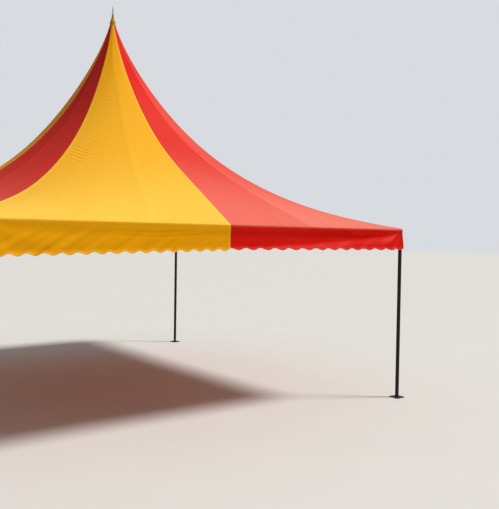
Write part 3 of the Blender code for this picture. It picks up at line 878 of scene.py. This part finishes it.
def grow(name, tree, base, values):
    """A plain mesh from a geometry tree on a base mesh, its inputs set by name."""
    holder = bpy.data.objects.new(name, base)
    scene.collection.objects.link(holder)
    modifier = holder.modifiers.new(name, "NODES")
    modifier.node_group = tree
    for item in tree.interface.items_tree:
        if item.item_type == "SOCKET" and item.in_out == "INPUT" and item.name in values:
            modifier[item.identifier] = values[item.name]
    mesh = evaluated_mesh(holder)
    bpy.data.objects.remove(holder)
    mesh.name = name
    if mesh.materials and mesh.materials[0] is None:
        mesh.materials.pop(index=0)
    return mesh


def lines_mesh(name, lines):
    """A mesh of open or closed polylines, each (points, outward directions, closed)."""
    places, outward, edges = [], [], []
    for points, ways, closed in lines:
        first, count = len(places), len(points)
        places += [tuple(p) for p in points]
        outward += [tuple(w) for w in ways]
        edges += [(first + i, first + i + 1) for i in range(count - 1)]
        if closed:
            edges.append((first + count - 1, first))
    mesh = bpy.data.meshes.new(name)
    mesh.from_pydata(places, edges, [])
    layer = mesh.attributes.new("outward", "FLOAT_VECTOR", "POINT")
    layer.data.foreach_set("vector", np.asarray(outward, np.float32).ravel())
    return mesh


# ---------- sewing
def sewing(roof, skirt):
    """Twin rows of stitches on the colour seams, one round the eave and one on the hem."""
    lines = []
    normals = grid_normals(roof)
    rows = slice(4, -WRAP_ROWS - 2, 2)
    for seam in range(0, 4 * PER_SIDE, 2 * PER_PANEL):
        for way in (1, -1):
            points = 0.35 * roof[rows, seam + way] + 0.65 * roof[rows, seam + 2 * way]
            lines.append((points, normals[rows, seam + way], False))
    lines.append(((roof[-3] * 0.4 + roof[-2] * 0.6)[::2], normals[-2][::2], True))
    row = VALANCE_ROWS - 5
    hem = skirt[row] * 0.2 + skirt[row + 1] * 0.8
    lines.append((hem[::3], grid_normals(skirt)[row + 1][::3], True))
    stitch = {"Pitch": 0.0125, "Size": (0.0085, 0.0016, 0.0012), "Segments": 4, "Rings": 2, "Variation": 0.1}
    mesh = grow("stitches", RUN, lines_mesh("stitch_lines", lines), {**stitch, "Finish": FINISHES["thread"]})
    show("stitches", mesh, [])


# ---------- steel helpers
def cut_corners(points, radius, closed):
    """A profile with each corner cut back by a radius, with one point between."""
    count = len(points)
    result = []
    for index, point in enumerate(points):
        if not closed and index in (0, count - 1) or point[0] == 0:
            result.append(point)
            continue
        before, after = Vector(points[index - 1]), Vector(points[(index + 1) % count])
        here = Vector(point)
        back, ahead = before - here, after - here
        cut = min(radius, back.length * 0.45, ahead.length * 0.45)
        start, end = here + back.normalized() * cut, here + ahead.normalized() * cut
        middle = (start + end) * 0.25 + here * 0.5
        result += [tuple(start), tuple(middle), tuple(end)]
    return result


def turned(profile, sides=FINE, radius=0.0008):
    """A profile of (radius, height), top to bottom down its outer side, turned about Z as a bmesh."""
    ring = profile[0][0] > 0
    line = cut_corners(profile, radius, ring) if radius else list(profile)
    bm = bmesh.new()
    rows = []
    for r, z in line:
        if r == 0:
            rows.append([bm.verts.new((0, 0, z))])
        else:
            angles = (math.tau * n / sides for n in range(sides))
            rows.append([bm.verts.new((r * math.cos(a), r * math.sin(a), z)) for a in angles])
    for upper, lower in zip(rows, rows[1:] + rows[:ring]):
        for n in range(sides):
            m = (n + 1) % sides
            corners = [upper[n % len(upper)], lower[n % len(lower)], lower[m % len(lower)], upper[m % len(upper)]]
            face = [v for i, v in enumerate(corners) if v not in corners[:i]]
            if len(face) > 2:
                bm.faces.new(face)
    return bm


def laid(bm, start, way):
    """The bmesh's Z axis turned to a direction and its origin moved to a start."""
    turn = Vector(UP).rotation_difference(Vector(way)).to_matrix().to_4x4()
    bm.transform(Matrix.Translation(start) @ turn)
    return bm


def rod(diameter, length, start, way):
    return laid(turned([(0, length), (diameter / 2, length), (diameter / 2, 0), (0, 0)]), start, way)


def plug(bore_d, start, way, more=0):
    """The spigot that a tube slides over, with more of it inside the piece below."""
    return rod(bore_d - 2 * SPIGOT_FIT, SPIGOT + more, start, way)


def boss(length, low, start, way):
    """A short welded stub with a chamfered end, which a stay is screwed to."""
    r = BOSS_D / 2
    return laid(turned([(0, length), (r - 0.002, length), (r, length - 0.003), (r, low), (0, low)], 32), start, way)


def united(shapes):
    """Several closed bmeshes as one skin."""
    objects = []
    for bm in shapes:
        mesh = bpy.data.meshes.new("shape")
        bm.to_mesh(mesh)
        bm.free()
        objects.append(bpy.data.objects.new("shape", mesh))
        scene.collection.objects.link(objects[-1])
    for tool in objects[1:]:
        boolean = objects[0].modifiers.new("join", "BOOLEAN")
        boolean.operation, boolean.object, boolean.solver = "UNION", tool, "EXACT"
    mesh = evaluated_mesh(objects[0])
    for obj in objects:
        bpy.data.objects.remove(obj)
    # Blender's order of vertices and faces differs from run to run, so they are put in one order
    order = sorted(range(len(mesh.vertices)), key=lambda index: tuple(mesh.vertices[index].co))
    number = {index: place for place, index in enumerate(order)}
    faces = []
    for face in mesh.polygons:
        corners = [number[index] for index in face.vertices]
        first = corners.index(min(corners))
        faces.append(corners[first:] + corners[:first])
    whole = bmesh.new()
    verts = [whole.verts.new(mesh.vertices[index].co) for index in order]
    for corners in sorted(faces):
        whole.faces.new([verts[place] for place in corners])
    return whole


def steel(name, solid, shapes, finish, where=(0, ""), sharp=38, worn=(), reach=0.0):
    """Closed bmeshes as one piece in place of a solid, smooth but for its sharp edges.

    where: the quarter that it is turned to, and the ending of both names. worn: points about which hands,
    ground and joints wear it, within reach.
    """
    whole = bmesh.new()
    for bm in shapes:
        part = bpy.data.meshes.new("part")
        bm.to_mesh(part)
        bm.free()
        whole.from_mesh(part)
        bpy.data.meshes.remove(part)
    places = np.array([v.co for v in whole.verts])
    whole.transform(Matrix.Rotation(where[0] * math.pi / 2, 4, "Z"))
    mesh = bpy.data.meshes.new(name)
    whole.to_mesh(mesh)
    whole.free()
    mesh.shade_smooth()
    mesh.set_sharp_from_angle(angle=math.radians(sharp))
    if worn:
        near = np.min([np.linalg.norm(places - np.array(p), axis=1) for p in worn], axis=0)
        float_attribute(mesh, "handled", np.exp(-((near / reach) ** 2)))
    ending = "_" + where[1] if where[1] else ""
    show(name + ending, mesh, [finish], [solid + ending])


def tube(outer_d, bore_d, low, high):
    return [(outer_d / 2, high), (outer_d / 2, low), (bore_d / 2, low), (bore_d / 2, high)]


def long_tube(outer_d, bore_d, low, high, extra=()):
    """A tube's profile with rings along it, so that wear can be marked near its ends."""
    stops = [high - 0.02, high - 0.08, high - 0.2, *extra, low + 0.2, low + 0.08, low + 0.02]
    return [(outer_d / 2, high)] + [(outer_d / 2, z) for z in stops] + tube(outer_d, bore_d, low, high)[1:]


BOLTS, WELDS = [], []


def keep_line(kept, points, ways, quarter=0, closed=False):
    """Keeps a line of places with outward directions, turned to its quarter."""
    turn = Matrix.Rotation(quarter * math.pi / 2, 3, "Z")
    kept.append(([turn @ Vector(p) for p in points], [turn @ Vector(w) for w in ways], closed))


def bolt(place, way, quarter=0):
    keep_line(BOLTS, [place], [way], quarter)


def boss_weld(centre, way, radius, quarter, steps=28):
    """A weld round the foot of a boss."""
    side = way.orthogonal().normalized()
    other = way.cross(side)
    arms = [side * math.cos(math.tau * n / steps) + other * math.sin(math.tau * n / steps) for n in range(steps)]
    keep_line(WELDS, [centre + a * radius for a in arms], [(a + way).normalized() for a in arms], quarter, True)


# ---------- steel frame
def leg(where):
    """A tube leg, bolted to its socket from two sides and to its foot from one."""
    low, high = PLATE_T + TOUCH, BAR_Z - SOCKET_ARM - TOUCH
    shape = laid(turned(long_tube(TUBE_D, BORE_D, low, high, (1.4, 0.9))), (AXIS, -AXIS, 0), UP)
    ends = [(AXIS, -AXIS, low), (AXIS, -AXIS, high)]
    steel("tube_leg", "leg", [shape], "paint", where, worn=ends, reach=0.16)
    for way in ((-1, 0, 0), (0, 1, 0)):
        bolt(Vector((AXIS, -AXIS, high - SPIGOT / 2)) + Vector(way) * BAR_R, way, where[0])
    bolt((AXIS - BAR_R, -AXIS, low + 0.032), (-1, 0, 0), where[0])


def plate_outlines(edge, corner_r=0.014, peg_r=0.008, peg_at=0.056):
    """The foot plate's outline and its four peg holes, drawn in by the rounding of the edge."""
    straight = PLATE_SIDE / 2 - edge - corner_r
    signs = ((1, 1), (-1, 1), (-1, -1), (1, -1))
    turns = [(quarter, (quarter + step / 8) * math.pi / 2) for quarter in range(4) for step in range(9)]
    outline = [
        (signs[q][0] * straight + corner_r * math.cos(a), signs[q][1] * straight + corner_r * math.sin(a))
        for q, a in turns
    ]
    around = [math.tau * n / 24 for n in range(24)]
    return [outline] + [
        [(x * peg_at + (peg_r + edge) * math.cos(a), y * peg_at + (peg_r + edge) * math.sin(a)) for a in around]
        for x in (-1, 1)
        for y in (-1, 1)
    ]


def foot(where):
    """A base plate with rounded corners, eased edges, peg holes and a spigot."""
    edge = 0.0010
    drawing = bpy.data.curves.new("plate", "CURVE")
    drawing.dimensions, drawing.fill_mode = "2D", "BOTH"
    drawing.extrude, drawing.bevel_depth, drawing.bevel_resolution = PLATE_T / 2 - edge, edge, 2
    for outline in plate_outlines(edge):
        spline = drawing.splines.new("POLY")
        spline.points.add(len(outline) - 1)
        for point, (x, y) in zip(spline.points, outline):
            point.co = (x, y, 0, 1)
        spline.use_cyclic_u = True
    holder = bpy.data.objects.new("plate", drawing)
    scene.collection.objects.link(holder)
    plate = bmesh.new()
    plate.from_mesh(evaluated_mesh(holder))
    bpy.data.objects.remove(holder)
    bmesh.ops.remove_doubles(plate, verts=plate.verts, dist=1e-6)
    plate.transform(Matrix.Translation((AXIS, -AXIS, PLATE_T / 2)))
    shapes = [plate, plug(BORE_D, (AXIS, -AXIS, PLATE_T), UP)]
    steel("base_plate", "foot_plate", shapes, "paint", where, worn=[(AXIS, -AXIS, 0)], reach=0.11)


def socket(where):
    """Three mitred arms welded at the corner, with plugs into leg and bars and a boss for the stay."""
    middle = Vector((AXIS, -AXIS, BAR_Z))
    ways = (Vector((0, 0, -1)), Vector((-1, 0, 0)), Vector((0, 1, 0)))
    arms = [rod(TUBE_D, SOCKET_ARM, middle, way) for way in ways]
    ball = bmesh.new()
    bmesh.ops.create_uvsphere(ball, u_segments=FINE, v_segments=FINE // 2, radius=BAR_R - 2 * TOUCH)
    ball.transform(Matrix.Translation(middle))
    body = united([arms[0], ball, *arms[1:], boss(CORNER_BOSS, 0, STAY_START, STAY_LINE)])
    shapes = [body] + [plug(BORE_D, middle + way * SOCKET_ARM, way) for way in ways]
    steel("welded_corner", "corner_socket", shapes, "paint", where, sharp=30, worn=[middle], reach=0.10)
    for one, two in ((ways[0], ways[1]), (ways[0], ways[2]), (ways[1], ways[2])):
        side = one.cross(two)
        steps = [math.pi * n / 24 for n in range(1, 24)]
        inner = [math.sin(a) * BAR_R * (one + two) + math.cos(a) * BAR_R * side for a in steps]
        keep_line(WELDS, [middle + p for p in inner], [p.normalized() for p in inner], where[0])
    reach = BAR_R / math.hypot(STAY_LINE.x, STAY_LINE.y)
    boss_weld(STAY_START + STAY_LINE * (reach + 0.001), STAY_LINE, BOSS_D / 2, where[0])


def bar(where):
    """An eave bar of two lengths, with a fine gap at its middle, bolted beside the gap and at both ends."""
    half, gap_r, ring = AXIS - SOCKET_ARM - TOUCH, BAR_R - 0.0007, 1.5
    line = long_tube(TUBE_D, BORE_D, -half, half, (ring,))
    gap = [(BAR_R, 0.0012), (gap_r, 0.0006), (gap_r, -0.0006), (BAR_R, -0.0012)]
    shape = laid(turned(line[:5] + gap + [(BAR_R, -ring)] + line[5:]), (0, -AXIS, BAR_Z), (1, 0, 0))
    ends = [(AXIS, -AXIS, BAR_Z), (-AXIS, -AXIS, BAR_Z)]
    steel("tube_bar", "eave_bar", [shape], "paint", where, worn=ends, reach=0.25)
    for x in (-1, 1):
        place = Vector((x * (half - SPIGOT / 2), -AXIS, BAR_Z))
        bolt(place + Vector((0, BAR_R, 0)), (0, 1, 0), where[0])
        bolt(place + Vector((0, 0, -BAR_R)), (0, 0, -1), where[0])
        bolt((x * 0.06, -AXIS, BAR_Z - BAR_R), (0, 0, -1), where[0])


def screw_thread(diameter, low, high, pitch=0.00175, depth=0.0009):
    """The outer profile of a threaded rod, top to bottom, as ridges."""
    count = int((high - low) / pitch)
    line = []
    for n in range(count):
        z = high - n * pitch
        line += [(diameter / 2, z), (diameter / 2 - depth, z - pitch / 2)]
    return line + [(diameter / 2, high - count * pitch)]


def bottle_screw(where):
    """An open bottle screw: threaded ends, lock nuts and a body with two rails."""
    length = 2 * BUCKLE_ROD + BUCKLE_BODY
    body_end = BUCKLE_ROD + BUCKLE_BODY
    end_r, bore_d = BUCKLE_ROD_D / 2 - 0.001, BUCKLE_ROD_D - 0.001
    head, inside = 0.026, 0.048  # the body's closed ends, and how far the threads reach into it
    nut_d, nut_t, nut_gap = 0.0196, 0.009, 0.0005
    shapes = []
    for low, high in ((0, BUCKLE_ROD + inside), (length - BUCKLE_ROD - inside, length)):
        thread = screw_thread(BUCKLE_ROD_D, low + 0.001, high - 0.001)
        shapes.append(turned([(0, high), (end_r, high), *thread, (end_r, low), (0, low)], 18, 0))
    for low in (BUCKLE_ROD, body_end - head):
        shapes.append(turned(tube(BUCKLE_D, bore_d, low, low + head), 32, 0.002))
    for low in (BUCKLE_ROD - nut_gap - nut_t, body_end + nut_gap):
        shapes.append(turned(tube(nut_d, bore_d, low, low + nut_t), 6, 0.0006))
    for hand in (-1, 1):
        rail = bmesh.new()
        bmesh.ops.create_cube(rail, size=1)
        rail.transform(Matrix.Diagonal((0.0050, 0.0105, BUCKLE_BODY - head, 1)))
        bmesh.ops.bevel(rail, geom=rail.edges[:], offset=0.0016, segments=3, affect="EDGES")
        rail.transform(Matrix.Translation((hand * (BUCKLE_D / 2 - 0.0027), 0, BUCKLE_ROD + BUCKLE_BODY / 2)))
        shapes.append(rail)
    start = STAY_START + STAY_LINE * (CORNER_BOSS + TOUCH)
    shapes = [laid(bm, start, STAY_LINE) for bm in shapes]
    steel("bottle_screw", "turnbuckle", shapes, "zinc", where, sharp=32)


ROPE_START = STAY_START + STAY_LINE * (CORNER_BOSS + 2 * TOUCH + 2 * BUCKLE_ROD + BUCKLE_BODY)
ROPE_END = STAY_END - STAY_LINE * (HUB_BOSS + TOUCH)
ROPE_LAY = 0.056  # length of one turn of a strand


def wire_stay(where, rope):
    """Six strands round a core, pulled taut, with a pressed terminal at each end."""
    strands = bmesh.new()
    strands.from_mesh(rope)
    terminal = [(0, 0.070), (0.0046, 0.070), (0.0062, 0.064), (0.0062, 0.022), (0.0078, 0.018), (0.0078, 0), (0, 0)]
    ends = ((ROPE_START, STAY_LINE), (ROPE_END, -STAY_LINE))
    shapes = [laid(strands, *ends[0])] + [laid(turned(terminal, 32), *end) for end in ends]
    steel("wire_stay", "stay_cable", shapes, "wire", where, sharp=50)


def mast_and_hub():
    """The mast, and the drum under it that four stays carry."""
    low, high = MAST_FOOT_Z + FOOT_HUB_H / 2 + TOUCH, TOP_Z + CROWN_ABOVE
    shape = turned(long_tube(MAST_D, MAST_BORE_D, low, high, (4.2, 3.2)))
    steel("mast_tube", "mast", [shape], "zinc", worn=[(0, 0, low), (0, 0, high)], reach=0.2)
    for hand in (1, -1):
        bolt((hand * MAST_D / 2, 0, low + SPIGOT / 2), (hand, 0, 0))

    bottom, top, rim_r = MAST_FOOT_Z - FOOT_HUB_H / 2, MAST_FOOT_Z + FOOT_HUB_H / 2, FOOT_HUB_D / 2
    waist_r = rim_r - 0.003
    drum = [(0, top), (rim_r, top), (rim_r, top - 0.012), (waist_r, top - 0.014)]
    drum += [(waist_r, bottom + 0.014), (rim_r, bottom + 0.012), (rim_r, bottom), (0, bottom)]
    shapes = [turned(drum, 64, 0.0014)]
    for quarter in range(4):
        arm = boss(HUB_BOSS, 0.02, STAY_END, -STAY_LINE)
        arm.transform(Matrix.Rotation(quarter * math.pi / 2, 4, "Z"))
        shapes.append(arm)
    shapes = [united(shapes), plug(MAST_BORE_D, (0, 0, top - 0.001), UP, 0.001)]
    steel("stay_hub", "mast_foot", shapes, "paint", sharp=30, worn=[(0, 0, bottom)], reach=0.05)
    for quarter in range(4):
        boss_weld(STAY_END - STAY_LINE * (rim_r - 0.0015), -STAY_LINE, BOSS_D / 2 + 0.0003, quarter)


def crown_and_spike():
    """The sleeve round the mast's head, and the flanged spike that plugs into it."""
    low, high = TOP_Z - CROWN_BELOW, TOP_Z + CROWN_ABOVE
    steel("crown_sleeve", "crown_ring", [turned(tube(CROWN_D, MAST_D + 2 * TOUCH, low, high), 64, 0.0012)], "zinc")
    seat, plug_r = high + TOUCH, MAST_BORE_D / 2 - SPIGOT_FIT
    top, tip = TOP_Z + CAP_H, TOP_Z + CAP_H + SPIKE_H
    tip_r, foot_r = SPIKE_TIP_D / 2, SPIKE_D / 2
    line = [(0, tip), (tip_r, tip - 0.0012), (tip_r + 0.0010, tip - 0.010), (foot_r - 0.0024, tip - 0.055)]
    line += [(foot_r - 0.0022, top + 0.020), (foot_r - 0.0022, top + 0.014), (foot_r, top + 0.012), (foot_r, top)]
    line += [(foot_r, seat + FLANGE_T), (CROWN_D / 2, seat + FLANGE_T), (CROWN_D / 2, seat)]
    line += [(plug_r, seat), (plug_r, seat - SPIGOT), (0, seat - SPIGOT)]
    steel("steel_spike", "finial_spike", [turned(line, radius=0.0007)], "weathered")


# ---------- cap
def cloth_cap():
    """The sewn cloth cone over the peak, with a hem, eight seams and a drawn-in top."""
    hole = SPIKE_D / 2 + TOUCH
    outer = CROWN_D / 2 + 2 * TOUCH + SHEET
    stops = np.array([
        (hole + 0.0022, CAP_H + 0.004),
        (hole + 0.0026, CAP_H - 0.002),
        (hole + 0.0036, CAP_H - 0.010),
        (outer * 0.47, CAP_H * 0.62),
        (outer * 0.78, CAP_SKIRT + 0.010),
        (outer - 0.0012, CAP_SKIRT - 0.004),
        (outer - 0.0008, 0.016),
        (outer + 0.0040, -0.018),
    ])
    radii, heights = stops[:, 0], TOP_Z + stops[:, 1]
    travel = np.concatenate([[0], np.cumsum(np.hypot(np.diff(radii), np.diff(heights)))])
    fine = np.linspace(0, travel[-1], CAP_ROWS)
    r, z = np.interp(fine, travel, radii), np.interp(fine, travel, heights)
    for line in (r, r, z, z):
        line[1:-1] = (line[:-2] + 2 * line[1:-1] + line[2:]) / 4
    angle = np.arange(CAP_COLUMNS) * math.tau / CAP_COLUMNS
    down = (fine / travel[-1])[:, None]
    seam = np.abs(((angle * CAP_SEAMS / math.tau) + 0.5) % 1 - 0.5)
    # Gathers at the top, proud seams, slow waves at the skirt and a doubled hem
    pucker = 0.0007 * np.cos(angle * 16 + 0.5) * hump(down, 0.02, 0.22, 0.06)
    pucker += 0.0006 * (1 - eased(seam, 0.02, 0.05)) * eased(down, 0.1, 0.2)
    pucker += 0.0006 * np.cos(angle * 5 + 1.1) * eased(down, 0.55, 1.0)
    pucker += 0.0008 * eased(down, 0.955, 0.965)
    radius = r[:, None] + pucker
    points = placed(radius * np.sin(angle), radius * np.cos(angle), z[:, None], 0)
    row, column = face_places(CAP_ROWS, CAP_COLUMNS)
    gore = CAP_COLUMNS // CAP_SEAMS
    tape_and_painted_light = 0.18 * np.isin(column % gore, (0, gore - 1)) + 0.15 * (row > CAP_ROWS - 4)
    across = np.arange(CAP_COLUMNS + 1) * CAP_GIRTH / CAP_COLUMNS
    metres = np.stack(np.broadcast_arrays(across, fine[:, None]), axis=-1)
    sewn(
        "cloth_cap",
        points,
        metres[:, :-1],
        metres[:, 1:],
        {"tape_and_painted_light": tape_and_painted_light, "fade_and_sheen": 0.03, "soil": 0.5 + 0.3 * down},
        ["cap"],
        "yellow_cloth",
        ["top_cap"],
        CAP_CLOTH_T,
        4,
        flat=(CAP_GIRTH, round(float(travel[-1]), 3)),
        held="stretched",
        rests_on=["crown_sleeve", "steel_spike"],
    )


def fastenings():
    """All bolts as one piece, and all weld beads as another."""
    mesh = grow("bolts", bolt_tree(), lines_mesh("bolt_points", BOLTS), {"Finish": FINISHES["zinc"]})
    show("bolts", mesh, [])
    bead = {"Pitch": 0.0026, "Size": (0.0046, 0.0062, 0.0040), "Segments": 8, "Rings": 5, "Variation": 0.12}
    mesh = grow("welds", RUN, lines_mesh("weld_lines", WELDS), {**bead, "Finish": FINISHES["paint"]})
    show("weld_beads", mesh, [])


# ---------- room
def room():
    """A wide pale floor, soft light from all round and one soft key light."""
    mesh = bpy.data.meshes.new("floor")
    bm = bmesh.new()
    bmesh.ops.create_circle(bm, cap_ends=True, segments=96, radius=120)
    bm.to_mesh(mesh)
    bm.free()
    floor = bpy.data.objects.new("floor", mesh)
    scene.collection.objects.link(floor)
    floor.location.z = -0.001
    material, tree, shader, place, _ = blank("pale_floor")
    pale = mixed(tree, noise(tree, place, 0.8, 4.0), (0.60, 0.60, 0.60, 1), (0.64, 0.64, 0.63, 1))
    # It throws back less light than it shows, as dull ground outdoors does
    seen = node(tree, "ShaderNodeLightPath").outputs["Is Camera Ray"]
    feed(tree, shader, {"Base Color": mixed(tree, seen, (0.28, 0.26, 0.24, 1), pale), "Roughness": 0.8})
    mesh.materials.append(material)
    warm = (1.0, 0.97, 0.92)
    scene.world = bpy.data.worlds.new("studio")
    scene.world.use_nodes = True
    tree = scene.world.node_tree
    light = feed(tree, tree.nodes["Background"], {"Color": (*warm, 1), "Strength": 0.34}).outputs[0]
    backdrop = made(tree, "ShaderNodeBackground", {"Color": (0.93, 0.96, 1.0, 1), "Strength": 0.74})
    seen = node(tree, "ShaderNodeLightPath").outputs["Is Camera Ray"]
    both = made(tree, "ShaderNodeMixShader", {0: seen, 1: light, 2: backdrop})
    feed(tree, tree.nodes["World Output"], {"Surface": both})
    sun = bpy.data.lights.new("key_light", "SUN")
    sun.energy, sun.angle, sun.color = 3.72, math.radians(14), warm
    key = bpy.data.objects.new("key_light", sun)
    scene.collection.objects.link(key)
    key.matrix_world = Vector((0.52, -0.38, 0.765)).to_track_quat("Z", "Y").to_matrix().to_4x4()
    scene.view_settings.view_transform = "Standard"


CHANCE = np.random.default_rng(11)
RUN = run_tree()
make_camera()
roof_points = canopy()
sewing(roof_points, valance())
rope_length = (ROPE_END - ROPE_START).length
rope_sizes = {"Length": rope_length, "Rope Diameter": CABLE_D, "Turns": round(rope_length / ROPE_LAY)}
rope = grow("rope", rope_tree(), bpy.data.meshes.new("rope_base"), {**rope_sizes, "Finish": FINISHES["wire"]})
for quarter, (side, corner) in enumerate(zip(SIDES, CORNERS)):
    for piece in (leg, foot, socket):
        piece((quarter, corner))
    bar((quarter, side))
    bottle_screw((quarter, corner))
    wire_stay((quarter, corner), rope)
mast_and_hub()
crown_and_spike()
cloth_cap()
fastenings()
room()
